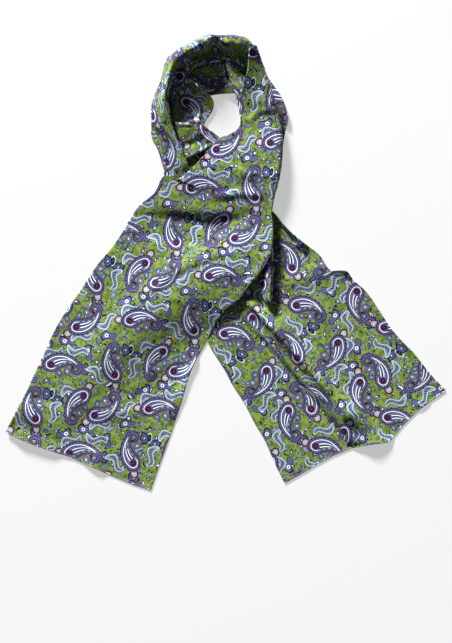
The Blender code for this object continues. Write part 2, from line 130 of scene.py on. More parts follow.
def surfacePoints(strip, alongAt, acrossAt):  # the strip's surface in metres, from its rows and its ripples
    rows = np.array(strip["rows"], float).reshape(len(strip["rows"]), -1, 3)
    points = gridSpline(rows, alongLine(rows, alongAt), acrossAt)
    x, y, z = points[..., 0], points[..., 1], points[..., 2].copy()
    for ripple in strip.get("ripples", ()) + strip.get("creases", ()):
        z += rippleHeight(ripple, x, y)
    if "slack" in strip:
        z += slackWaves(x, y, *strip["slack"])
    level = strip["under"](x, y) if "under" in strip else np.zeros_like(x)
    height = plan["rest"] + level * mm + settled((z - level) * mm)
    eyeX, eyeY, eyeHeight = plan["eye"]
    nearer = 1 - height / eyeHeight
    places = np.stack([(eyeX + (x - eyeX) * nearer) * plan["unit"] + plan["centre"][0],
                       (eyeY + (y - eyeY) * nearer) * plan["unit"] + plan["centre"][1],
                       height - plan["drop"]], axis=-1)
    if "hemBow" in strip:
        bulgeHem(places, np.asarray(alongAt), np.asarray(acrossAt), *strip["hemBow"])
    return places


def bulgeHem(grid, alongAt, acrossAt, bow, reach):  # the hem line bows out between its corners
    chord = grid[0, -1, :2] - grid[0, 0, :2]
    chord /= np.linalg.norm(chord)
    outward = np.array([chord[1], -chord[0]])
    push = np.interp(acrossAt, np.linspace(0, 1, len(bow)), bow) * plan["unit"]
    fade = np.clip(1 - alongAt / reach, 0, 1)
    grid[..., :2] += (fade[:, None] * push[None, :])[..., None] * outward


coarse = {"along": 61, "across": 25, "rounds": 260, "push": 1.5}   # the grid that is laid flat


def flatten(points, start):  # flat places of the cloth's points, with their real spacing kept
    every, before, after = slice(None), slice(None, -1), slice(1, None)
    pairs = [((before, every), (after, every)), ((every, before), (every, after)),
             ((before, before), (after, after)), ((after, before), (before, after))]
    lengths = [np.linalg.norm(points[b] - points[a], axis=-1, keepdims=True) for a, b in pairs]
    flat = start.copy()
    for _ in range(coarse["rounds"]):
        move, count = np.zeros_like(flat), np.zeros(flat.shape[:2] + (1,))
        for (a, b), length in zip(pairs, lengths):
            apart = flat[b] - flat[a]
            now = np.linalg.norm(apart, axis=-1, keepdims=True)
            push = apart * (0.5 * (now - length) / np.maximum(now, 1e-9))
            move[a] += push
            move[b] -= push
            count[a] += 1
            count[b] += 1
        flat += coarse["push"] * move / count
    return flat


def stripGrid(strip):  # fine grid of a strip, with the print's place at each point in metres
    rough = surfacePoints(strip, np.linspace(0, 1, coarse["along"]), np.linspace(0, 1, coarse["across"]))
    if strip["held"] == "folded":  # stands up, so the plan isn't its flat shape
        middle = rough[:, coarse["across"] // 2]
        along = np.concatenate([[0], np.cumsum(np.linalg.norm(np.diff(middle, axis=0), axis=1))])
        across = np.linalg.norm(np.diff(rough, axis=1), axis=2).mean(axis=0)
        across = np.concatenate([[0], np.cumsum(across)])
        start = np.stack(np.broadcast_arrays(across[None, :], along[:, None]), axis=-1).astype(float)
    else:
        start = rough[..., :2].copy()
    countAlong, countAcross = strip["counts"]
    alongAt, acrossAt = np.linspace(0, 1, countAlong), np.linspace(0, 1, countAcross)
    points = surfacePoints(strip, alongAt, acrossAt)
    fineFlat = gridSpline(flatten(rough, start), alongAt, acrossAt)
    heading, originX, originY = strip["print"]   # degrees, and the flat place where a motif of the print lies
    sin, cos = math.sin(math.radians(heading)), math.cos(math.radians(heading))
    x, y = fineFlat[..., 0] - originX, fineFlat[..., 1] - originY
    flatPlace = np.stack([x * sin - y * cos, x * cos + y * sin], axis=-1)
    if "pleat" in strip:  # the cloth hidden in a pleat is missing from the print beyond it
        planX, planY = np.moveaxis((points[..., :2] - plan["centre"]) / plan["unit"], -1, 0)
        pleatX, pleatY = zip(*strip["pleat"])
        past = (planX - np.interp(planY, pleatY, pleatX)) / strip["pleatBlend"] + 0.5
        flatPlace -= eased(past)[..., None] * np.array(strip["hidden"])
    return points, flatPlace


folding = {
    "share": 0.2,        # a fold's radius and its part underneath are at most this share of the strip's width
    "reach": 3,          # columns over which the cloth's own direction is taken
    "smoothing": 4,      # rounds that even out that direction along the edge
    "rise": 0.012,       # metres in from the edge over which the cloth rises to the fold
    "crowded": 0.0008,   # metres before the new edge where columns are spread again
    "steps": 9,          # facets round the fold
    "under": 5,          # columns underneath it
}


def foldEdge(points, flat, side, radius, tuck, steps=folding["steps"], under=folding["under"]):
    # one long edge turned over and back under: side a is the left one, b the right one
    if side == "a":
        points, flat = points[:, ::-1], flat[:, ::-1]
    points, flat = points.copy(), flat.copy()
    rows, columns = points.shape[:2]
    reach = folding["reach"]
    most = np.linalg.norm(points[:, -1] - points[:, 0], axis=1) * folding["share"]
    radii, tucks = [np.minimum(np.broadcast_to(size, rows), most)[:, None] for size in (radius, tuck)]
    outward = points[:, -1] - points[:, -1 - reach]
    outward[:, 2] = 0
    for _ in range(folding["smoothing"]):
        outward = unitVectors(outward)
        outward[1:-1] = outward[:-2] + 2 * outward[1:-1] + outward[2:]
    outward = unitVectors(outward)
    up = np.array([0, 0, 1.0])
    edge = points[:, -1] - outward * radii
    lift = np.maximum(plan["rest"] - plan["drop"] + 2 * radii[:, 0] - edge[:, 2], 0)
    away = np.einsum("ijk,ik->ij", edge[:, None] - points, outward)
    points[..., 2] += lift[:, None] * np.clip(1 - away / folding["rise"], 0, 1) ** 2
    edge[:, 2] += lift
    for row in range(rows):  # columns past the new edge are spread before it
        clear = int(np.nonzero(away[row] >= folding["crowded"])[0][-1])
        parts = np.linspace(0, 1, columns - clear)[1:, None]
        points[row, clear + 1:] = points[row, clear] * (1 - parts) + edge[row] * parts
        toward = flat[row, clear] - flat[row, max(clear - reach, 0)]
        toward /= np.linalg.norm(toward)
        gap = np.linalg.norm(edge[row] - points[row, clear])
        flat[row, clear + 1:] = flat[row, clear] + toward * gap * parts
    flatOut = unitVectors(flat[:, -1] - flat[:, -1 - reach])
    addedPoints, addedFlat = [], []
    for k in range(1, steps + 1):
        angle = math.pi * k / steps
        addedPoints.append(edge + radii * (outward * math.sin(angle) + up * (math.cos(angle) - 1)))
        addedFlat.append(flat[:, -1] + flatOut * radii * angle)
    for k in range(1, under + 1):
        addedPoints.append(addedPoints[steps - 1] - outward * tucks * k / under)
        addedFlat.append(addedFlat[steps - 1] + flatOut * tucks * k / under)
    points = np.concatenate([points, np.stack(addedPoints, axis=1)], axis=1)
    flat = np.concatenate([flat, np.stack(addedFlat, axis=1)], axis=1)
    return (points, flat) if side == "b" else (points[:, ::-1], flat[:, ::-1])


class Wire:  # a socket, so that maths on it can be written as maths
    def __init__(self, book, socket):
        self.book, self.socket = book, socket

    def other(self, out):  # another output of the same node
        return Wire(self.book, self.socket.node.outputs[out])

    def __add__(self, other):
        return self.book.maths("ADD", self, other)

    def __sub__(self, other):
        return self.book.maths("SUBTRACT", self, other)

    def __rsub__(self, other):
        return self.book.maths("SUBTRACT", other, self)

    def __mul__(self, other):
        return self.book.maths("MULTIPLY", self, other)

    def __truediv__(self, other):
        return self.book.maths("DIVIDE", self, other)

    def __lt__(self, other):
        return self.book.maths("LESS_THAN", self, other)

    __radd__ = __add__
    __rmul__ = __mul__


class NodeBook:
    def __init__(self, tree):
        self.tree = tree

    def feed(self, node, sockets):  # wires or plain values into a node's sockets
        for key, value in sockets.items():
            if isinstance(value, Wire):
                self.tree.links.new(value.socket, node.inputs[key])
            else:
                node.inputs[key].default_value = value

    def add(self, kind, settings=None, sockets=None, out=0):
        node = self.tree.nodes.new(kind)
        for name, value in (settings or {}).items():
            if name == "stops":
                self.setStops(node.color_ramp, value)
            else:
                setattr(node, name, value)
        self.feed(node, sockets or {})
        return Wire(self, node.outputs[out])

    def setStops(self, ramp, stops):  # (position, colour) with the colour a grey or RGBA
        while len(ramp.elements) > 1:
            ramp.elements.remove(ramp.elements[-1])
        for k, (position, colour) in enumerate(stops):
            element = ramp.elements[0] if k == 0 else ramp.elements.new(position)
            element.position = position
            element.color = (colour, colour, colour, 1.0) if isinstance(colour, (int, float)) else colour

    def maths(self, operation, *values):
        return self.add("ShaderNodeMath", {"operation": operation}, dict(enumerate(values)))

    def vector(self, operation, *values, out=0):
        return self.add("ShaderNodeVectorMath", {"operation": operation}, dict(enumerate(values)), out)

    def measure(self, operation, *values):  # vector maths with a number as its result
        return self.vector(operation, *values, out="Value")

    def point(self, x, y, z=0):
        return self.add("ShaderNodeCombineXYZ", {}, {0: x, 1: y, 2: z})

    def split(self, vector):
        first = self.add("ShaderNodeSeparateXYZ", {}, {0: vector})
        return first, first.other(1)

    def ramp(self, value, stops, low=0.0, high=1.0):
        inside = [((at - low) / (high - low), colour) for at, colour in stops]
        scaled = value if (low, high) == (0.0, 1.0) else (value - low) * (1 / (high - low))
        return self.add("ShaderNodeValToRGB", {"stops": inside}, {0: scaled})

    def softStep(self, value, low, high):
        return self.add("ShaderNodeMapRange", {"interpolation_type": "SMOOTHSTEP"},
                        {0: value, 1: low, 2: high})

    def between(self, value, low, high):  # from low where the value is 0 to high where it is 1
        return self.add("ShaderNodeMapRange", {}, {0: value, 3: low, 4: high})

    def wave(self, phase, low, high):  # 1 on the crests of a sine, with soft sides
        return self.softStep(self.maths("SINE", phase), low, high)

    def noise(self, place, scale, detail, roughness=0.5, dimensions="2D", out=0):
        return self.add("ShaderNodeTexNoise", {"noise_dimensions": dimensions},
                        {"Vector": place, "Scale": scale, "Detail": detail, "Roughness": roughness}, out)

    def bump(self, height, strength, distance, **below):
        return self.add("ShaderNodeBump", {},
                        {"Strength": strength, "Distance": distance, "Height": height, **below})

    def mixColour(self, factor, first, second):
        return self.add("ShaderNodeMix", {"data_type": "RGBA"}, {0: factor, 6: first, 7: second}, 2)

    def mixVector(self, factor, first, second):
        return self.add("ShaderNodeMix", {"data_type": "VECTOR"}, {0: factor, 4: first, 5: second}, 1)


def newMaterial(name):  # with its node book and its shader
    material = bpy.data.materials.new(name)
    material.use_nodes = True
    return material, NodeBook(material.node_tree), material.node_tree.nodes["Principled BSDF"]


# The print: a half-drop repeat of big curled drops with small leaves, seeds, pads and dots between them.
# Lengths are millimetres on the flat cloth, bearings are degrees clockwise from the cloth's length.
cell = {"across": 174.0, "along": 118.0}
colours = {
    "ground": (0.224, 0.318, 0.066),
    "groundShade": (0.122, 0.186, 0.026),
    "violet": (0.118, 0.127, 0.285),
    "blue": (0.042, 0.062, 0.185),
    "halo": (0.180, 0.110, 0.190),
    "white": (0.920, 0.940, 0.980),
    "pale": (0.560, 0.660, 0.740),
    "navy": (0.004, 0.006, 0.026),
    "slate": (0.130, 0.185, 0.250),
    "aqua": (0.260, 0.350, 0.410),
    "maroon": (0.080, 0.004, 0.016),
    "bud": (0.380, 0.410, 0.450),
}


def tint(name, alpha=1.0):
    return colours[name] + (alpha,)


def bands(*parts):  # ramp stops of colours: each is from, to and colour, or place and colour
    return [(at, tint(part[-1])) for part in parts for at in part[:-1]]


def nearestSpot(book, lattice, spots, stretch):  # place in the frame of the nearest spot, x along its bearing
    wide, half, high = cell["across"], cell["across"] / 2, cell["along"]
    best = bestReach = None
    for u, v, bearing, side in spots:
        offset = book.vector("SUBTRACT", lattice, ((u - v * half / high) / wide, v / high, 0))
        folded = book.vector("WRAP", offset, (0.5, 0.5, 0.5), (-0.5, -0.5, -0.5))
        sin, cos = math.sin(math.radians(bearing)), math.cos(math.radians(bearing))
        x = book.measure("DOT_PRODUCT", folded, (wide * sin, half * sin + high * cos, 0))
        y = book.measure("DOT_PRODUCT", folded, (-side * wide * cos, side * (high * sin - half * cos), 0))
        place = book.point(x, y)
        stretched = book.vector("MULTIPLY", place, (stretch, 1, 0)) if stretch != 1 else place
        reach = book.measure("LENGTH", stretched)
        if best is None:
            best, bestReach = place, reach
        else:
            best = book.mixVector(reach < bestReach, best, place)
            bestReach = book.maths("MINIMUM", bestReach, reach)
    return best


def overlay(book, below, shape, *parts, fade, high=1.0):  # bands from a shape's middle outwards
    top = book.ramp(shape, bands(*parts) + [(fade, tint(parts[-1][-1], 0.0))], 0.0, high)
    return book.mixColour(top.other(1), below, top)


def disc(book, place, at, size, turn=0):  # 0 in the middle of an ellipse, 1 on its edge
    local = book.add("ShaderNodeMapping", {"vector_type": "TEXTURE"},
                     {0: place, 1: (*at, 0), 2: (0, 0, math.radians(turn)), 3: (*size, 1)})
    return book.measure("LENGTH", local)


def curledLeaf(book, place, at, size, bend):  # 1 on the edge of a round-ended leaf whose middle line is an S
    length, width = size
    x, y = book.split(book.vector("SUBTRACT", place, (*at, 0)))
    middle = y - book.maths("SINE", x * (3.6 / length)) * bend
    beyond = book.maths("MAXIMUM", book.maths("ABSOLUTE", x) - (length - width), 0)
    taper = book.maths("MAXIMUM", 1 - x * (0.35 / length), 0.4)
    return book.measure("LENGTH", book.point(beyond, middle)) / taper * (1 / width)


# Spots of a motif in the repeat: place across and along, bearing, and 1 where it curls right or -1 for left.
padSpots = ((-97, -16, 155, 1), (8, 96, 60, -1), (-62, 44, 155, -1), (-2, 31, 90, -1))
seedSpots = ((-66, 71, 155, 1), (40, 52, -138, -1), (69, 73, 86, 1), (40, -8, 60, -1))
leafSpots = ((29, 13, 34, 1), (1, -26, 54, -1), (56, 48, 40, -1), (93, 66, 81, 1), (-37, 44, 107, -1),
             (-64, 5, 50, -1), (-77, -41, 180, 1))
dropSpots = ((0, 0, 30, -1), (80, 40, 68, 1), (-27, 73, -32, 1), (-51, -17, 189, -1))
dotLayers = (   # shift of the dots, dots in a millimetre, colours of their middle and their edge
    ((0, 0, 0), 0.105, "navy", "navy"),
    ((37, 11, 0), 0.055, "navy", "aqua"),
    ((5, 71, 0), 0.062, "blue", "violet"),
    ((61, 23, 0), 0.040, "aqua", "slate"),
    ((17, 43, 0), 0.050, "white", "blue"),
)


def flowerPad(book, below, place):  # a round flower with five petals, and an oval above it
    oval = disc(book, place, (0, 5.5), (9.5, 4.4), -8)
    drawn = overlay(book, below, oval, (0, "slate"), (0.3, 0.62, "navy"), (0.68, "aqua"), (0.88, "white"),
                    (0.92, "navy"), fade=1.0)
    x, y = book.split(place)
    petals = book.maths("SINE", book.maths("ARCTAN2", y + 3, x) * 5) * 0.09
    flower = petals + disc(book, place, (0.5, -3), (10.0, 6.6), 6)
    return overlay(book, drawn, flower, (0, 0.10, "white"), (0.18, 0.34, "navy"), (0.42, "violet"),
                   (0.78, "blue"), (0.86, 1.0, "navy"), fade=1.06, high=1.25)


def seed(book, below, place):  # a small curled seed with a white eye
    shape = curledLeaf(book, place, (2, 0), (12.5, 5.2), 1.8)
    drawn = overlay(book, below, shape, (0, "blue"), (0.3, 0.8, "violet"), (0.86, 1.06, "navy"),
                    fade=1.14, high=1.25)
    eye = disc(book, place, (-3.6, -0.6), (3.3, 3.1))
    return overlay(book, drawn, eye, (0, 0.36, "navy"), (0.48, 0.9, "white"), fade=1.0)


def leaf(book, below, place):  # a frilled leaf with slanting veins
    x, y = book.split(place)
    shape = curledLeaf(book, place, (0, 0), (19, 5.8), 4.6)
    frill = book.maths("SINE", x * 0.8 + 1) * 0.06 + shape
    drawn = overlay(book, below, frill, (0, 0.64, "aqua"), (0.72, 0.86, "pale"), (0.92, 1.02, "navy"),
                    fade=1.08, high=1.25)
    slant = x + y * 1.3
    veins = book.wave(slant, 0.0, 0.5) * book.softStep(shape, 0.46, 0.34)
    veins = veins * book.softStep(x, -16, -13) * book.softStep(x, 15, 12)
    drawn = book.mixColour(veins, drawn, tint("navy"))
    tips = book.wave(slant + 3.1, 0.2, 0.7) * book.softStep(shape, 0.4, 0.3)
    return book.mixColour(tips, drawn, tint("violet"))


drop = {
    "centre": (1.0, -30.4), "radius": 35.4,   # the circle that its middle line follows
    "bulbTurn": -40,                          # degrees round it to the middle of the bulb
    "halfWidth": 13.8, "inset": 2.4,
    "taper": ((0, 1.0), (8, 1.0), (20, 0.84), (32, 0.6), (43, 0.42), (52, 0.34), (56, 0.2), (58, 0.0)),
    "hookCentre": (19.7, -8.9), "hookRadius": 6.8, "hookStart": 0.716, "hookWidth": 3.0,   # its curled tip
}


def buds(book, below, place):  # three discs beside the big drop
    first = disc(book, place, (5, -13.5), (5.2, 8.0), 20)
    second = disc(book, place, (-8, -16.5), (7.0, 4.4), -35)
    third = disc(book, place, (-39.5, -3), (8.4, 7.2), 10)
    drawn = overlay(book, below, first, (0, 0.16, "white"), (0.26, "navy"), (0.42, "slate"), (0.76, "violet"),
                    (0.88, "navy"), fade=1.0)
    drawn = overlay(book, drawn, second, (0, 0.3, "aqua"), (0.45, "blue"), (0.72, "violet"), (0.88, "navy"),
                    fade=1.0)
    return overlay(book, drawn, third, (0, "white"), (0.24, 0.60, "bud"), (0.68, 0.92, "maroon"), fade=1.0)


def bigDrop(book, below, place):  # a curled drop with ringed outlines, stripes, a ladder, beads and lobes
    x, y = book.split(book.vector("SUBTRACT", place, (*drop["centre"], 0)))
    along = (book.maths("ARCTAN2", x, y) - math.radians(drop["bulbTurn"])) * drop["radius"]
    across = book.measure("LENGTH", book.point(x, y)) - drop["radius"]
    width = book.ramp(along, drop["taper"], 0, 60) * drop["halfWidth"] - drop["inset"]
    body = width - book.measure("LENGTH", book.point(book.maths("MINIMUM", along, 0), across))
    hookX, hookY = book.split(book.vector("SUBTRACT", place, (*drop["hookCentre"], 0)))
    hookTurn = book.maths("ARCTAN2", hookX, hookY) - drop["hookStart"]
    hookTurn = book.maths("WRAP", hookTurn, 2 * math.pi - 1, -1)
    hookWidth = book.maths("MINIMUM", drop["hookWidth"] - hookTurn * 0.8, hookTurn * 5 + drop["hookWidth"])
    offHook = book.maths("ABSOLUTE", book.measure("LENGTH", book.point(hookX, hookY)) - drop["hookRadius"])
    inside = book.maths("MAXIMUM", body, hookWidth - offHook)   # millimetres inside the drop's outline
    flow = across / width                                       # 1 on the back, -1 on the belly
    back = bands((-4, -1.6, "halo"), (-1.4, -0.5, "navy"), (-0.2, 2.0, "violet"), (2.2, 2.8, "navy"),
                 (3.1, 4.2, "white"), (4.5, 6.2, "blue"), (6.5, 11, "violet"))
    belly = bands((-4, -1.7, "halo"), (-1.5, -0.4, "navy"), (0.0, 1.2, "slate"), (1.5, 2.3, "navy"),
                  (2.6, 4.2, "violet"), (4.8, "navy"), (7.0, "blue"))
    opened = book.softStep(flow, 0.0, -0.25) * book.softStep(along, -2, 6) * book.softStep(along, 52, 44)
    rings = book.mixColour(opened, book.ramp(inside, back, -4, 11), book.ramp(inside, belly, -4, 11))
    streaks = bands((-0.46, "navy"), (-0.41, -0.30, "white"), (-0.25, "navy"), (-0.02, "blue"),
                    (0.04, 0.14, "white"), (0.19, "navy"))
    stripe = book.ramp(flow, [(-0.56, tint("navy", 0.0)), *streaks, (0.30, tint("navy", 0.0))], -1, 1)
    striped = book.softStep(inside, 4.6, 5.2) * book.softStep(along, 5, 7) * stripe.other(1)
    rings = book.mixColour(striped, rings, stripe)
    ladder = book.wave(along * 1.25 + across * 0.4, 0.35, 0.75) * book.softStep(inside, 5.4, 6.0)
    ladder = ladder * book.softStep(inside, 8.2, 7.4) * book.softStep(flow, -0.05, 0.1)
    rings = book.mixColour(ladder, rings, tint("slate"))
    beads = book.wave((along + across * 0.3) * 1.55, 0.1, 0.6)
    beads = beads * book.softStep(book.maths("ABSOLUTE", inside - 0.9), 0.8, 0.3)
    rings = book.mixColour(beads, rings, tint("navy"))
    lobes = book.wave(along * 0.62 - 0.6, 0.1, 0.7) * opened * book.softStep(inside, 4.4, 3.6)
    rings = book.mixColour(lobes * book.softStep(inside, 1.4, 2.0), rings, tint("aqua"))
    scallop = book.maths("ABSOLUTE", book.maths("SINE", (along + across) * 0.62)) * 1.6
    shown = book.softStep(inside + scallop + opened * 1.2, -2.3, -1.9)
    edging = book.softStep(inside, -1.2, -1.6) * book.wave((along + across) * 1.24 + 1, 0.2, 0.6)
    rings = book.mixColour(edging, rings, tint("navy"))
    drawn = book.mixColour(shown, below, rings)
    eye = book.measure("LENGTH", book.point(along + 0.6, across))
    return overlay(book, drawn, eye, (0, 0.8, "violet"), (1.2, 2.0, "navy"), (2.4, 4.6, "maroon"),
                   fade=5.0, high=12)


def printColour(book, flatMetres):  # colour of the printed silk at a flat place
    flatMm = book.vector("MULTIPLY", flatMetres, (1000, 1000, 0))
    halfDrop = (1 / cell["across"], -1 / (2 * cell["along"]), 0)
    lattice = book.point(book.measure("DOT_PRODUCT", flatMm, halfDrop),
                         book.measure("DOT_PRODUCT", flatMm, (0, 1 / cell["along"], 0)))
    patches = book.noise(flatMm, 0.11, 3.0, 0.6)
    colour = book.mixColour(book.softStep(patches, 0.40, 0.62), tint("ground"), tint("groundShade"))
    wobble = book.noise(flatMm, 0.07, 0.0, out="Color")
    uneven = book.vector("ADD", flatMm, book.vector("MULTIPLY", wobble, (13, 13, 0)))
    for shift, scale, middle, rim in dotLayers:
        dots = book.add("ShaderNodeTexVoronoi", {"voronoi_dimensions": "2D"},
                        {"Vector": book.vector("ADD", uneven, shift), "Scale": scale, "Randomness": 0.9})
        colour = overlay(book, colour, dots, (0, 0.05, middle), (0.07, 0.12, rim), (0.14, "navy"), fade=0.16)
    for motif, spots in ((flowerPad, padSpots), (seed, seedSpots), (leaf, leafSpots)):
        colour = motif(book, colour, nearestSpot(book, lattice, spots, 1))
    big = nearestSpot(book, lattice, dropSpots, 0.5)
    return bigDrop(book, buds(book, colour, big), big)


weave = {
    "pitch": 0.0007, "depth": 0.00004,          # metres between the twill's ribs, and their height
    "slackScale": 70.0, "slackDepth": 0.0008,   # the faint unevenness of the cloth
    "rough": (0.58, 0.70), "sheen": 0.03, "sheenRough": 0.4, "shine": 0.08,
}


def printedSilk(name):
    material, book, shader = newMaterial(name)
    flat = book.add("ShaderNodeUVMap", {"uv_map": "cloth"})
    across, along = book.split(flat)
    rib = book.maths("SINE", (across + along) * (2 * math.pi / weave["pitch"]))
    slack = book.noise(flat, weave["slackScale"], 2.0)
    twill = book.bump(rib, 0.25, weave["depth"])
    book.feed(shader, {
        "Base Color": printColour(book, flat),
        "Roughness": book.between(slack, *weave["rough"]),
        "Normal": book.bump(slack, 0.35, weave["slackDepth"], Normal=twill),
        "Sheen Weight": weave["sheen"],
        "Sheen Roughness": weave["sheenRough"],
        "Specular IOR Level": weave["shine"]})
    return material


silkPrint = printedSilk("printed_silk")
print("print drawn with", len(silkPrint.node_tree.nodes), "nodes")

pieces, cuts = {}, {}   # the pieces by name, and the flat size and the area of each cloth


def placed(name, mesh):  # a piece at the origin
    made = bpy.data.objects.new(name, mesh)
    bpy.context.scene.collection.objects.link(made)
    pieces[name] = made
    return made


def plainMesh(made):  # its modifiers are worked into the mesh
    drawn = made.data
    bpy.context.view_layer.update()
    whole = bpy.data.meshes.new_from_object(made.evaluated_get(bpy.context.evaluated_depsgraph_get()))
    made.modifiers.clear()
    made.data = whole
    bpy.data.meshes.remove(drawn)
    whole.name = made.name
    whole.shade_smooth()
    return whole


def clothPiece(strip, points, flat):  # a grid of points as a thin shell
    name = strip["name"]
    rows, columns = points.shape[:2]
    corner = (np.arange(rows - 1)[:, None] * columns + np.arange(columns - 1)).ravel()
    faces = np.stack([corner, corner + 1, corner + columns + 1, corner + columns], axis=1)
    mesh = bpy.data.meshes.new(name)
    mesh.from_pydata(points.reshape(-1, 3).tolist(), [], faces.tolist())
    uv = mesh.uv_layers.new(name="cloth")
    corners = np.zeros(len(mesh.loops), dtype=np.int32)
    mesh.loops.foreach_get("vertex_index", corners)
    uv.data.foreach_set("uv", flat.reshape(-1, 2)[corners].astype(np.float32).ravel())
    made = placed(name, mesh)
    mesh.materials.append(silkPrint)
    shell = made.modifiers.new("shell", "SOLIDIFY")
    shell.thickness = silk["thickness"]
    shell.offset = 0.0
    whole = plainMesh(made)
    whole.set_sharp_from_angle(angle=math.radians(silk["sharpCorner"]))
    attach(made, "root")
    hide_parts(*strip["nodes"])
    size = flat.max(axis=(0, 1)) - flat.min(axis=(0, 1)) - np.array(strip.get("hidden", (0, 0)))
    a, b = flat[1:, 1:] - flat[:-1, :-1], flat[1:, :-1] - flat[:-1, 1:]
    flatCells = np.abs(a[..., 0] * b[..., 1] - a[..., 1] * b[..., 0]) / 2
    a, b = points[1:, 1:] - points[:-1, :-1], points[1:, :-1] - points[:-1, 1:]
    realCells = np.linalg.norm(np.cross(a, b), axis=-1) / 2
    area = float(flatCells[flatCells < silk["torn"] * realCells].sum())
    print(f"{name}: {len(whole.polygons)} faces, flat {size[0]:.3f} x {size[1]:.3f} m, {area:.4f} m2")
    cuts[name] = {"flat": (float(size[0]), float(size[1])), "area": area}


def clothStrip(strip):
    points, flat = stripGrid(strip)
    if "fold" in strip:
        points, flat = foldEdge(points, flat, *strip["fold"])
    clothPiece(strip, points, flat)


crossing = {   # where the first tail rises over the edge of the second one, in units
    "edgeY": (-91, -60, -13, 38, 84), "edgeX": (-13, -29, -48, -60, -62),
    "outside": 22, "foot": -112, "soft": 18,
    "lift": 2.0,                # millimetres
}


def underlay(x, y):  # how high the second tail holds the first one up
    edge = np.interp(y, crossing["edgeY"], crossing["edgeX"]) - crossing["outside"]
    return crossing["lift"] * eased(np.minimum(x - edge, y - crossing["foot"]) / crossing["soft"])


hem = {
    "radius": 0.0009, "tuck": 0.0014, "steps": 6, "under": 2,   # the long edges are rolled under
    "rings": 12, "beyond": 0.0014,    # the round roll's facets, and metres from a short end to its middle
    "inward": 0.0004, "onTop": 0.6,   # where its stitches lie: metres in, and shares of the silk's thickness
}
overThread = np.array([0, 0, silk["thickness"] * hem["onTop"]])


def outwardOf(line):  # square to a short end, away from the cloth
    chord = line[-1, :2] - line[0, :2]
    return np.array([chord[1], -chord[0], 0])[:line.shape[1]] / np.linalg.norm(chord)


def seamLine(points, side, added, end):  # a long edge is stitched one column in from those its fold added
    column = added + 1 if side == "a" else -added - 2
    return points[2:end, column] + overThread


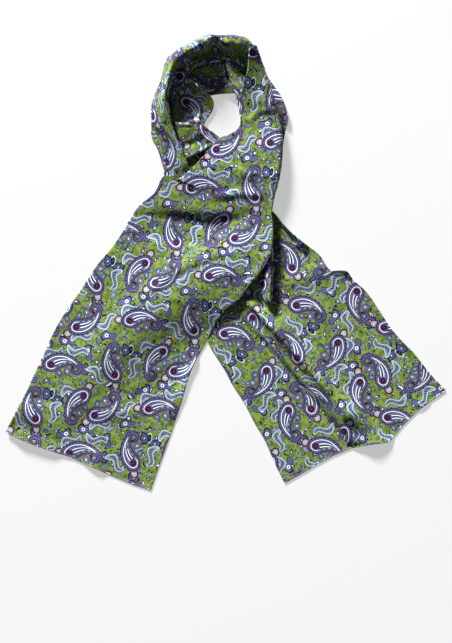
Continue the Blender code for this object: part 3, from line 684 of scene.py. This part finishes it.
# The two tails come first, then the layers of the loop. In each strip
# rows are the left edge's x, y and height and then the right edge's, from the hem or the loop's near end on,
# ripples are the large folds that the CAD has too, and creases are the small ones,
# slack is a seed, millimetres and the length of a wave,
# hemBow is how far the hem bows out along its width, and the share of the strip that follows it,
# fold is the side of the folded edge, its radius and how far it goes back under, in metres,
# counts are the grid's points along and across,
# print is the print's heading in degrees, and the flat place where a motif lies.
frontCloth = {
    "name": "front_cloth", "nodes": ("front_tail", "neck_right"), "held": "laid",
    "restsOn": ("under_cloth", "narrow_fold"), "trim": ("front_hem_roll", "front_stitches"),
    "rows": (
        (-220, -170, 6, -75, -228, -2),
        (-211, -152, 5, -68, -208, -4),
        (-200, -131, 4, -60, -186, -4),
        (-184.5, -97.5, 4, -46, -146, -2),
        (-168, -63, 4, -35, -110, -1),
        (-147.3, -32, 4, -20, -81.5, 0.6),
        (-129.5, -5, 4, -5, -54, 5.5),
        (-110, 19, 4.2, 12, -40, 8),
        (-96.5, 41, 5, 25, -22, 10),
        (-87, 55, 6.5, 37, -8, 12),
        (-73.5, 67, 9.5, 45, 9, 14.5),
        (-62, 85, 13, 47, 30, 17),
        (-48, 82, 16, 46, 48, 19.5),
        (-35, 92, 18.5, 48.5, 64, 22),
        (-22, 106, 19.5, 52.5, 78, 24),
        (-12, 118, 19, 55.3, 92, 25),
        (-4, 124, 18, 56.5, 104, 25),
        (6, 128, 17, 57, 114, 24),
        (13, 134, 16.5, 56.5, 125, 23),
        (15, 144, 16.5, 55, 140, 22),
        (15, 154, 17.5, 52, 152, 22),
        (13, 163, 20, 48.5, 163, 23),
        (16, 174, 26, 45.5, 173, 26),
        (21, 190, 33, 39, 190, 29),
        (22.5, 205, 40, 34.5, 204, 36),
        (23.5, 217, 46, 30.5, 215.5, 44),
    ),
    "ripples": (
        Ripple(28, 52, ((38, 0, 7), (-35, -28, 11), (-82, -62, 12), (-135, -118, 6))),
        Ripple(24, 18, ((-84, 46, -2), (-50, 42, -7), (-10, 36, -9), (14, 44, -4))),
        Ripple(20, 18, ((-212, -150, 9), (-186, -157, 8), (-160, -166, 3))),
        Ripple(16, 16, ((-205, -178, 5), (-178, -188, 4))),
        Ripple(16, 18, ((-132, -210, 6), (-122, -178, 3))),
        Ripple(16, 14, ((-30, -104, 8), (-52, -156, 5))),
    ),
    "creases": (
        Ripple(12, 9, ((6, -46, 1), (14, -38, 3), (26, -22, 3.5), (37, -8, 3), (45, 9, 2), (46, 24, 1))),
        Ripple(26, 20, ((40, -22, 2), (-21, -46, 5.5), (-68, -80, 5), (-121, -136, 2))),
        Ripple(16, 14, ((22, 158, 2), (34, 160, 4), (46, 156, 2))),
        Ripple(14, 10, ((-84, 53, 1), (-50, 50, 4), (-10, 47, 4.5), (14, 50, 2))),
        Ripple(15, 14, ((-92, 31, -1.5), (-58, 26, -5.5), (-28, 21, -5), (4, 26, -1.5))),
        Ripple(8, 13, ((12, 10, 1), (-20, 4, 3.5), (-52, -10, 4), (-82, -34, 3), (-110, -62, 1))),
        Ripple(7, 9, ((-36, -92, 0.5), (-66, -108, 1.5), (-92, -130, 1.5))),
        Ripple(8, 8, ((-122, -100, -2), (-112, -126, -4), (-98, -144, -3))),
        Ripple(6, 9, ((-60, -104, 1), (-52, -132, 3), (-58, -164, 2))),
        Ripple(16, 14, ((-214, -150, -2), (-186, -157, -4), (-158, -167, -2))),
        Ripple(12, 12, ((-150, -170, -1), (-130, -182, -4), (-112, -190, -1))),
        Ripple(16, 20, ((-150, -142, 1), (-118, -152, 3.5), (-92, -150, 3.5), (-72, -142, 1))),
        Ripple(7, 7, ((-14, 62, 1), (10, 68, 3), (34, 66, 2))),
        Ripple(6, 10, ((-2, 96, 1), (20, 88, 3), (44, 84, 2))),
        Ripple(5, 6, ((22, 140, 1), (34, 150, 2.5), (50, 152, 1))),
        Ripple(3, 5, ((40, 178, 2), (47, 160, 3), (51, 140, 3), (53, 118, 1))),
    ),
    "slack": (11, 0.45, 26),
    "under": underlay,
    "hemBow": ((0, 1.5, 1.5, 0.6, -1, 0.2, 1, 1, 1.2, 0), 4 / 45),
    "fold": ("a", 0.0018, 0.009),
    "counts": (300, 116),
    "print": (65.3, -0.0938, -0.0239),
    "splitRow": 11,                      # above this row the right edge rolls under
    "blend": 8,                          # grid rows over which the rolled hem changes to it
    "rollTuck": 0.010, "rollSteps": 12,
    # place up the page in units, and the roll's radius there in millimetres
    "roll": ((30, 2), (54, 2.4), (72, 6), (100, 8.5), (150, 8), (173, 6.5), (188, 3.5), (200, 2), (217, 1.4)),
}

points, flat = stripGrid(frontCloth)
frontEnd = points[0], flat[0]
points, flat = foldEdge(points, flat, *frontCloth["fold"])
rows = np.array(frontCloth["rows"], float).reshape(-1, 2, 3)
split = frontCloth["splitRow"] / (len(rows) - 1)
splitAt = int(np.searchsorted(alongLine(rows, np.linspace(0, 1, len(points))), split))
rollY, rollRadius = zip(*frontCloth["roll"])
roll = np.interp(points[:, -1, 1] / plan["unit"], rollY, rollRadius) * mm
above = np.clip((np.arange(len(points)) - splitAt + frontCloth["blend"]) / frontCloth["blend"], 0, 1)
points, flat = foldEdge(points, flat, "b", hem["radius"] + (roll - hem["radius"]) * above,
                        hem["tuck"] + (frontCloth["rollTuck"] - hem["tuck"]) * above, frontCloth["rollSteps"])
clothPiece(frontCloth, points, flat)
added = frontCloth["rollSteps"] + folding["under"]
frontSeams = [seamLine(points, "b", added, splitAt - frontCloth["blend"])]

underCloth = {
    "name": "under_cloth", "nodes": ("under_tail",), "held": "laid",
    "trim": ("under_hem_roll", "under_stitches"),
    "rows": (
        (58, -221, -4, 219, -129, -3),
        (49.5, -204, -4, 204, -113, -4),
        (38.5, -179, -4, 187.5, -92, -4),
        (28.5, -162, -4, 175.5, -80, -3),
        (17.5, -141, -4, 164.5, -67, -2.5),
        (6.5, -124, -4, 155, -52.5, -2),
        (-2, -108, -4, 141, -32, 0),
        (-13, -91, -4, 128, -20, 1),
        (-18, -82, -4, 120, -10, 1),
        (-23, -72, -4, 104, -9, 0.5),
        (-29, -60, -4, 93, 6, 0),
        (-40, -38, -4, 76, 19.5, -2),
        (-48, -13, -4, 61, 33, -3),
        (-56, 12, -4, 48, 48, -4),
        (-61, 38, -4, 32, 64, -4),
        (-63, 64, -4, 11, 88, -4),
        (-62, 90, -4, -13, 115, -4),
    ),
    "ripples": (
        Ripple(28, 10, ((16, -36, 4), (50, -70, 15), (84, -109, 14), (120, -150, 13))),
        Ripple(32, 22, ((124, -154, 8), (151, -188, 20))),
        Ripple(10, 28, ((6, -64, 3), (33, -89, 10), (65, -128, 10), (104, -180, 9))),
        Ripple(14, 12, ((113, -26, 6), (122, -11, 9))),
        Ripple(14, 16, ((66, -20, 7), (96, -12, 5))),
        Ripple(10, 9, ((57, 42, 10), (78, 17, 8))),
        Ripple(18, 16, ((182, -128, 5), (206, -150, 6))),
    ),
    "creases": (
        Ripple(13, 5, ((18, -38, 2), (50, -70, 5), (84, -109, 5.5), (120, -150, 4))),
        Ripple(8, 7, ((52, 46, 3), (64, 32, 6), (76, 18, 5))),
        Ripple(12, 14, ((8.5, -42.5, 4), (42.5, -76.5, 10), (76.5, -115.5, 12), (112.5, -156.5, 12),
                        (122, -176, 8))),
        Ripple(12, 22, ((8, -62, -3), (36, -92, -10), (69, -131, -11), (106, -178, -9))),
        Ripple(12, 12, ((111, -30, -5), (122, -12, -7))),
        Ripple(4, 3, ((48, 27, 2), (60, 21, 4), (73, 13, 3))),
        Ripple(3, 22, ((48, 19, -6), (58, 14, -6), (70, 8, -4))),
        Ripple(9, 9, ((100, 0, 1), (110, -8, 4), (120, -9, 4))),
        Ripple(12, 14, ((68, -20, -3), (94, -12, -3))),
        Ripple(8, 7, ((23, -33, -6), (32, -26, -12), (38, -44, -9))),
        Ripple(7, 5, ((14, -38, 1), (24, -43, 4), (34, -54, 4), (40, -62, 2))),
        Ripple(6, 12, ((48, 22, -2), (54, 0, -5), (49, -28, -4))),
        Ripple(9, 12, ((74, -28, 1), (96, -52, 3.5), (124, -84, 3), (152, -112, 1))),
        Ripple(7, 8, ((96, -20, -1), (112, -44, -3.5), (140, -66, -3))),
        Ripple(8, 8, ((30, -118, 1), (58, -160, 3), (72, -196, 2))),
        Ripple(7, 9, ((92, -92, 1), (116, -112, -3.5), (146, -146, -3))),
        Ripple(6, 7, ((146, -176, 1), (164, -164, 3), (190, -142, 2))),
        Ripple(5, 6, ((120, -42, 1), (134, -60, 3), (150, -84, 2))),
    ),
    "slack": (5, 0.45, 28),
    "hemBow": ((0, 0.2, -0.4, 0.2, 2.4, 9, 16.5, 9, 4, 1.5, 0), 5 / 29),
    "counts": (240, 150),
    "print": (-51, 0.0990, -0.2640),
    "pleat": ((124, -196), (110, -158.5), (74, -117.5), (40, -78.5), (6, -44.5), (-6, -32), (-44, 8)),
    "hidden": (0.050, 0.038),            # metres of the print inside the pleat
    "pleatBlend": 1.2,                   # units over which the print jumps
    "crossing": 30,                      # rows of its grid whose hems lie under the crossing
}

points, flat = stripGrid(underCloth)
underEnd = points[0], flat[0]
for side in "ab":
    points, flat = foldEdge(points, flat, side, hem["radius"], hem["tuck"], hem["steps"], hem["under"])
clothPiece(underCloth, points, flat)
underSeams = [seamLine(points, side, hem["steps"] + hem["under"], -underCloth["crossing"]) for side in "ab"]

neckLower = {
    "name": "lower_loop", "nodes": ("neck_lower",), "held": "folded",
    "rows": (
        (-62, 90, -4, -13, 115, -4),
        (-68, 110, -4, -26, 130, -4),
        (-74, 122, -4, -36, 141, -4),
        (-75, 134, -4, -44, 150, -4),
        (-73, 150, -4, -41, 162, -4),
        (-67, 165, -4, -35, 172, -4),
        (-59, 181, -4, -28, 180, -4),
        (-49, 196, -4, -20, 184, -4),
        (-33, 208, -4, -11, 186, -4),
        (-12, 214, -4, -2, 186, -4),
        (10, 211, -4, 7, 183, -4),
        (26, 202, -4, 14, 178, -4),
        (38, 189, -4, 20, 170, -4),
        (48, 175, -4, 24, 159, -4),
        (57, 161, -4, 26, 147, -4),
        (62, 143, -4, 26, 135, -4),
        (59, 128, -4, 27, 122, -4),
        (56, 110, -4, 27, 106, -4),
        (51, 88, -4, 24, 90, -4),
    ),
    "ripples": (
        Ripple(8, 7, ((-76, 145, 5), (-77, 130, 6), (-72, 117, 4))),
        Ripple(13, 12, ((55, 170, 5), (64, 144, 13), (59, 120, 7), (53, 92, 5))),
    ),
    "creases": (
        Ripple(2.6, 9, ((52, 169, -4), (57, 158, -9), (59, 146, -13), (58.6, 132, -12), (56.5, 118, -8))),
        Ripple(2.5, 2, ((-70, 154, -2), (-72, 138, -5), (-70, 122, -4), (-66, 112, -2))),
    ),
    "counts": (220, 56),
    "print": (90, 0.03, 0.02),
}

clothStrip(neckLower)

# The standing neck: foot outside, crest on top, lip towards the hole.
neckCloth = {
    "name": "neck_cloth", "nodes": ("neck_left", "neck_back"), "held": "folded", "restsOn": ("lower_loop",),
    "rows": (
        (-48, 78, 4, -42, 83, 8, -36, 87, 7),
        (-58, 91, 2.8, -46, 96, 14.5, -38, 96, 13.5),
        (-63.5, 110, 2.5, -50, 112, 17.5, -44, 112, 16.5),
        (-68.5, 124, 3, -56, 124, 20, -50, 125, 19),
        (-74, 138, 9, -62, 138, 24, -55, 140, 23),
        (-75, 153, 5, -64, 153, 27, -57, 154, 26),
        (-71, 167, 3.5, -63, 165, 30, -58, 166, 29),
        (-67, 176, 3.5, -60, 175, 33, -55, 177, 31.5),
        (-64, 186, 3.5, -58, 186, 36, -52, 186, 33.5),
        (-61, 198, 3.5, -56, 197, 39, -49, 193, 33),
        (-57, 205, 3.5, -53, 203, 41, -43, 194, 31),
        (-50, 211, 3.5, -47, 209, 43, -36, 196, 29),
        (-39, 217, 3.5, -37, 215, 44, -29, 200, 27.5),
        (-27, 223, 3.5, -26, 220.5, 45, -21, 203, 26.5),
        (-14, 227, 3.5, -14, 224.5, 46, -11, 204, 26),
        (1, 226.5, 3.5, 0, 224, 45, 0, 201, 25),
        (13, 225, 3.5, 12, 222.5, 43, 9, 199.5, 23.5),
        (21.5, 222, 3.5, 20, 220, 38, 15, 196, 22),
        (27, 216, 3.5, 25, 214, 31, 21, 193, 20),
        (33, 205, 3.5, 30, 204, 23, 25, 189, 17),
        (39, 192, 3.5, 36, 191, 15, 29, 184, 13),
    ),
    "creases": (
        Ripple(14, 7, ((-55, 168, -2), (-53, 181, -5), (-47, 194, -8), (-40, 200, -9), (-30, 205, -10),
                       (-20, 208, -11), (-7, 209, -12), (4, 208, -12), (14, 205.5, -10), (20, 201, -8),
                       (27, 193, -5), (31, 187, -2))),
        Ripple(9, 7, ((-60, 176, 3), (-55, 190, 6), (-47, 202, 8), (-38, 209, 9), (-27, 213, 8),
                      (-14, 216, 3), (0, 216, 7), (11, 214, 7), (19, 209, 5), (27, 200, 2))),
        Ripple(10, 9, ((-13, 225, -3), (-11, 218, -12), (-10, 209, -6))),
        Ripple(5, 7, ((4, 226, 2), (3, 216, 4), (2, 207, 1))),
        Ripple(5, 5, ((-32, 222, 1), (-30, 212, 3), (-26, 204, 2))),
        Ripple(6, 6, ((-58, 196, -2), (-48, 208, -3), (-34, 219, -2))),
        Ripple(4, 4, ((-72, 150, 2), (-66, 132, 3), (-58, 112, 3), (-50, 92, 2))),
        Ripple(3, 3, ((-62, 178, 2), (-66, 160, 2.5), (-62, 140, 2))),
    ),
    "slack": (3, 0.35, 20),
    "fold": ("b", 0.0022, 0.006),
    "counts": (260, 60),
    "print": (90, 0.02, 0.05),
}

clothStrip(neckCloth)

foldUpper = {
    "name": "upper_fold", "nodes": ("fold_upper",), "held": "folded", "restsOn": ("lower_loop",),
    "rows": (
        (-62, 167, 13, -53, 165, 15),
        (-61, 177, 13.5, -46, 172, 16),
        (-57, 185, 14, -42, 180, 17),
        (-54, 192, 15, -37, 187, 17.5),
        (-48, 200, 16, -32, 193, 17.5),
        (-37, 206, 16, -25, 196, 17),
        (-22, 212, 16, -14, 198.5, 16.5),
        (-3, 212, 15.5, 0, 198, 15.5),
        (12, 210, 14, 11, 195, 14),
        (22, 203, 12.4, 20, 189, 12.6),
    ),
    "creases": (
        Ripple(4, 3, ((-4, 201, -3), (4, 198, -8), (14, 193, -8), (21, 188, -6))),
        Ripple(3, 4, ((-56, 172, 2), (-48, 184, 3), (-38, 193, 3), (-25, 199, 3), (-10, 201, 2))),
    ),
    "fold": ("b", 0.0022, 0.005),
    "counts": (120, 24),
    "print": (90, 0.06, 0.03),
}

clothStrip(foldUpper)

foldBack = {
    "name": "back_fold", "nodes": ("fold_back",), "held": "folded", "restsOn": ("lower_loop",),
    "rows": (
        (-35, 188, 5, -25, 169, 2.2),
        (-28, 192, 7, -19, 165.5, 2.4),
        (-18, 195, 8, -10, 166.5, 3.2),
        (-7, 197, 8, -1, 167.5, 3.6),
        (4, 196, 8, 8, 168, 4.2),
        (15, 192, 7, 16, 168, 4.8),
        (23, 186, 5.8, 22, 166, 4.8),
    ),
    "creases": (
        Ripple(2.5, 5, ((-24, 172, 1), (-15, 179, 5), (-7, 185, 6), (1, 191, 5))),
        Ripple(1.2, 14, ((2, 193, 5), (7, 178, 8), (11, 165, 6))),
        Ripple(5, 4, ((-12, 170, -2), (-2, 178, -3), (2, 184, -3))),
    ),
    "fold": ("b", 0.0012, 0.003),
    "counts": (80, 40),
    "print": (90, 0.03, 0.01),
}

clothStrip(foldBack)

foldLeft = {
    "name": "left_fold", "nodes": ("fold_left",), "held": "folded", "restsOn": ("lower_loop",),
    "rows": (
        (-53, 182, 8.2, -35, 182, 9),
        (-57, 174, 8, -28, 174, 8.8),
        (-61, 167, 7.6, -19, 168, 8.6),
        (-64, 160, 7, -13.5, 162, 8),
        (-65, 153, 6, -12.5, 155, 6.6),
        (-65, 146, 5, -15, 148, 5.4),
        (-62, 139, 3.8, -20, 141, 4.6),
        (-60, 132, 3.4, -23, 134, 4.2),
    ),
    "creases": (
        Ripple(7, 12, ((-60, 174, -5), (-57, 158, -8), (-56, 144, -6))),
        Ripple(10, 16, ((-50, 186, 3), (-38, 180, 7), (-24, 172, 6))),
        Ripple(12, 12, ((-50, 152, -2), (-34, 150, -3), (-20, 150, -2))),
        Ripple(5, 8, ((-50, 180, 1), (-38, 166, 4), (-26, 154, 3), (-18, 148, 1))),
        Ripple(4, 4, ((-52, 150, 2), (-40, 146, 3), (-26, 144, 2))),
    ),
    "fold": ("b", 0.0018, 0.006),
    "counts": (80, 60),
    "print": (100, 0.046, 0.057),
}

clothStrip(foldLeft)

foldFront = {
    "name": "front_fold", "nodes": ("fold_front",), "held": "folded", "restsOn": ("lower_loop",),
    "rows": (
        (-55, 110, 5, -60, 140, 11.2),
        (-47, 102, 5, -53, 139.5, 11.6),
        (-37, 103, 6.5, -44, 138.5, 11.4),
        (-28, 107, 7.5, -35, 141.5, 11.4),
        (-21, 112, 8, -29, 143.5, 11.3),
        (-15, 115, 8, -23, 136, 10.6),
        (-8, 115, 8, -15, 130, 10.2),
        (-1, 115, 8, -6.5, 123.5, 9.8),
    ),
    "creases": (
        Ripple(5, 9, ((-53, 134, -6), (-49, 118, -8), (-45, 108, -5))),
        Ripple(9, 6, ((-50, 139, 2), (-36, 139, 4), (-26, 139, 3))),
        Ripple(4, 18, ((-52, 135, 2), (-38, 135, 3.5), (-26, 133, 3))),
        Ripple(4, 5, ((-34, 140, 2), (-28, 128, 3), (-18, 120, 2))),
        Ripple(2.5, 3, ((-49, 103, 1), (-37, 105, 1.5), (-28, 109, 1.5), (-16, 116, 1.5), (-5, 117, 1))),
        Ripple(5, 5, ((-42, 114, -1.5), (-32, 118, -2), (-22, 124, -1.5))),
    ),
    "fold": ("b", 0.0022, 0.006),
    "counts": (90, 50),
    "print": (100, 0.06, 0.02),
}

clothStrip(foldFront)

frontTuck = {
    "name": "narrow_fold", "nodes": ("front_tuck",), "held": "folded", "restsOn": ("under_cloth",),
    "rows": (
        (33, 40, 9.5, 47, 43, 12.4),
        (31, 22, 8, 47.5, 24, 11.6),
        (31, 6, 6.5, 47, 6, 11.5),
        (32, -10, 5.5, 47, -12, 11),
        (34, -26, 5.5, 46.5, -28, 10.4),
        (38, -39, 6.5, 46, -42, 8.9),
    ),
    "creases": (
        Ripple(5, 5, ((43, 40, 2), (42.5, 10, 4), (42.5, -20, 3), (43, -38, 2))),
        Ripple(11, 11, ((43, 14, 1), (43, -6, 5), (42.5, -26, 10), (42.5, -42, 12), (43, -52, 8))),
        Ripple(4, 9, ((35, 36, -3), (33, 10, -5), (33.5, -12, -3), (36, -28, -1))),
    ),
    "fold": ("b", 0.0022, 0.006),
    "counts": (110, 24),
    "print": (90, 0.02, 0.05),
}

clothStrip(frontTuck)

sideFlap = {
    "name": "side_flap", "nodes": ("neck_right",), "held": "folded", "restsOn": ("upper_fold",),
    "rows": (
        (15.5, 134, 13, 26, 135, 17),
        (14.5, 142, 13.5, 25, 143, 17),
        (13, 150, 14.5, 24, 151, 18),
        (11.4, 158, 16, 23, 160, 20),
        (9.6, 166, 17.8, 22, 168, 22),
        (7, 174, 18.8, 20.5, 176, 23),
        (4.5, 182, 19.2, 18.5, 184, 22),
        (2, 190, 21, 11.5, 191, 20.5),
        (-0.5, 199, 22, 2.2, 199, 21.6),
    ),
    "creases": (
        Ripple(3, 4, ((3, 194, 1), (9, 182, 2.5), (14, 168, 3))),
    ),
    "fold": ("a", 0.0006, 0.001),
    "counts": (90, 30),
    "print": (115, -0.002, 0.042),
}

clothStrip(sideFlap)



def rolledHem(name, end, node):  # round hem beyond a short end, printed as the cloth beside it
    line, lineFlat = end
    rings, radius = hem["rings"], silk["hemRadius"]
    outward, flatOut = outwardOf(line), outwardOf(lineFlat)
    centre = line + outward * hem["beyond"]
    centre[:, 2] = np.maximum(centre[:, 2], radius)
    angles = np.linspace(-math.pi, math.pi, rings + 1)
    grid = np.stack([centre - outward * radius * math.cos(a) + np.array([0, 0, radius * math.sin(a)])
                     for a in angles], axis=1)
    flatGrid = np.stack([lineFlat + flatOut * radius * (a + math.pi) for a in angles], axis=1)
    count = len(line)
    faces = [(i + j, i + rings + j, i + rings + (j + 1) % rings, i + (j + 1) % rings)
             for i in range(0, (count - 1) * rings, rings) for j in range(rings)]
    faces += [tuple(range(rings)), tuple(reversed(range((count - 1) * rings, count * rings)))]
    mesh = bpy.data.meshes.new(name)
    mesh.from_pydata(grid[:, :rings].reshape(-1, 3).tolist(), [], faces)
    uv = mesh.uv_layers.new(name="cloth")
    for face in mesh.polygons:
        wraps = len(face.vertices) == 4 and {v % rings for v in face.vertices} == {0, rings - 1}
        for corner, vertex in zip(face.loop_indices, face.vertices):
            i, j = divmod(vertex, rings)
            uv.data[corner].uv = flatGrid[i, rings if wraps and j == 0 else j]
    made = placed(name, mesh)
    mesh.materials.append(silkPrint)
    mesh.shade_smooth()
    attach(made, "root")
    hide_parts(node)
    print(f"{name}: {len(mesh.polygons)} faces")


rolledHem("front_hem_roll", frontEnd, "front_hem")
rolledHem("under_hem_roll", underEnd, "under_hem")

# Slip stitches that hold the rolled hems; lengths in metres, angles in radians.
hemStitch = {"Spacing": 0.0046, "Length": 0.0027, "Radius": 0.00032, "Slant": 0.5, "Uneven": 0.3, "Seed": 4}
threadLook = {"shade": (0.020, 0.030, 0.050, 1.0), "light": (0.044, 0.066, 0.110, 1.0), "rough": (0.4, 0.6),
              "strands": 2600.0, "depth": 0.0001}


def threadMaterial(name):
    material, book, shader = newMaterial(name)
    place = book.add("ShaderNodeTexCoord", out="Object")
    strand = book.noise(place, threadLook["strands"], 2.0, dimensions="3D")
    book.feed(shader, {
        "Base Color": book.ramp(strand, ((0.3, threadLook["shade"]), (0.7, threadLook["light"]))),
        "Roughness": book.between(strand, *threadLook["rough"]),
        "Normal": book.bump(strand, 0.4, threadLook["depth"])})
    return material


def stitchTree():  # short slanted stitches, evenly along the edges of a line
    tree = bpy.data.node_groups.new("slip_stitches", "GeometryNodeTree")
    for name, kind in (("Line", "Geometry"), ("Spacing", "Float"), ("Length", "Float"), ("Radius", "Float"),
                       ("Slant", "Float"), ("Uneven", "Float"), ("Seed", "Int"), ("Thread", "Material")):
        tree.interface.new_socket(name=name, in_out="INPUT", socket_type="NodeSocket" + kind)
    tree.interface.new_socket(name="Stitches", in_out="OUTPUT", socket_type="NodeSocketGeometry")
    book = NodeBook(tree)
    given = {socket.name: Wire(book, socket) for socket in tree.nodes.new("NodeGroupInput").outputs}
    curve = book.add("GeometryNodeMeshToCurve", {}, {"Mesh": given["Line"]})
    spots = book.add("GeometryNodeCurveToPoints", {"mode": "LENGTH"},
                     {"Curve": curve, "Length": given["Spacing"]})
    stray = book.add("FunctionNodeRandomValue", {"data_type": "FLOAT"},
                     {2: given["Uneven"] * -1, 3: given["Uneven"], "Seed": given["Seed"]}, out=1)
    slanted = book.add("ShaderNodeVectorRotate", {"rotation_type": "Z_AXIS"},
                       {"Vector": spots.other("Tangent"), "Angle": given["Slant"] + stray})
    turned = book.add("FunctionNodeAlignRotationToVector", {"axis": "X"}, {"Vector": slanted})
    stitch = book.add("GeometryNodeMeshUVSphere", {}, {"Segments": 6, "Rings": 4, "Radius": 1.0})
    size = book.point(given["Length"] * 0.5, given["Radius"], given["Radius"])
    sewn = book.add("GeometryNodeInstanceOnPoints", {},
                    {"Points": spots, "Instance": stitch, "Rotation": turned, "Scale": size})
    whole = book.add("GeometryNodeRealizeInstances", {}, {"Geometry": sewn})
    dyed = book.add("GeometryNodeSetMaterial", {}, {"Geometry": whole, "Material": given["Thread"]})
    tree.links.new(dyed.socket, tree.nodes.new("NodeGroupOutput").inputs[0])
    return tree


stitches = stitchTree()
thread = threadMaterial("hem_thread")


def sewHem(name, end, seams):  # stitches just on top of the rolled hem at a short end, and along the seams
    line, _ = end
    lines = [line - outwardOf(line) * hem["inward"] + overThread] + seams
    mesh = bpy.data.meshes.new(name)
    starts = np.cumsum([0] + [len(line) for line in lines])
    edges = [(int(i), int(i) + 1) for a, b in zip(starts, starts[1:]) for i in range(a, b - 1)]
    mesh.from_pydata(np.concatenate(lines).tolist(), edges, [])
    made = placed(name, mesh)
    sewing = made.modifiers.new("stitches", "NODES")
    sewing.node_group = stitches
    for item in stitches.interface.items_tree:
        if item.in_out == "INPUT" and item.name in hemStitch:
            sewing[item.identifier] = hemStitch[item.name]
        elif item.in_out == "INPUT" and item.name == "Thread":
            sewing[item.identifier] = thread
    whole = plainMesh(made)
    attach(made, "root")
    print(f"{name}: {len(whole.polygons)} faces")


sewHem("front_stitches", frontEnd, frontSeams)
sewHem("under_stitches", underEnd, underSeams)

for strip in (underCloth, neckLower, frontCloth, neckCloth, foldUpper, foldBack, foldLeft, foldFront,
              frontTuck, sideFlap):
    [pieces[name] for name in strip.get("restsOn", ())]
    [pieces[name] for name in strip.get("trim", ())]
print("sheets declared:", len(cuts))

studio = {
    "floor": (0.38, 0.38, 0.38, 1.0), "floorRough": 0.7,
    "floorGlow": (0.48, 0.48, 0.48, 1.0),   # lifts the shadows on the floor, as on a table lit from below
    "floorReach": 6,
    "world": (0.95, 0.97, 1.0, 1.0), "worldStrength": 0.11,
    "keyPlace": (-5.0, 11.9, 5.5), "keySize": 2.7, "keyPower": 5650,
    "camera": (0.0, -0.096, 2.4), "sensor": 36, "frameHeight": 1.042,
}

reach = studio["floorReach"]
floorMesh = bpy.data.meshes.new("floor")
floorMesh.from_pydata([(-reach, -reach, 0), (reach, -reach, 0), (reach, reach, 0), (-reach, reach, 0)],
                      [], [(0, 1, 2, 3)])
paleFloor, floorBook, floorShader = newMaterial("pale_floor")
floorBook.feed(floorShader, {"Base Color": studio["floor"], "Roughness": studio["floorRough"],
                             "Emission Color": studio["floorGlow"], "Emission Strength": 1.0})
floorMesh.materials.append(paleFloor)
floor = bpy.data.objects.new("floor", floorMesh)
bpy.context.scene.collection.objects.link(floor)

world = bpy.data.worlds.new("studio")
world.use_nodes = True
background = world.node_tree.nodes["Background"]
background.inputs["Color"].default_value = studio["world"]
background.inputs["Strength"].default_value = studio["worldStrength"]
bpy.context.scene.world = world

keyData = bpy.data.lights.new("key", "AREA")
keyData.size = studio["keySize"]
keyData.energy = studio["keyPower"]
key = bpy.data.objects.new("key", keyData)
key.location = studio["keyPlace"]
key.rotation_euler = (-Vector(studio["keyPlace"])).to_track_quat("-Z", "Y").to_euler()
bpy.context.scene.collection.objects.link(key)

cameraData = bpy.data.cameras.new("camera")
cameraData.sensor_width = studio["sensor"]
cameraData.lens = studio["sensor"] * studio["camera"][2] / studio["frameHeight"]
camera = bpy.data.objects.new("camera", cameraData)
camera.location = studio["camera"]
bpy.context.scene.collection.objects.link(camera)
bpy.context.scene.camera = camera
bpy.context.scene.view_settings.view_transform = "Standard"
print("floor, light and camera set")
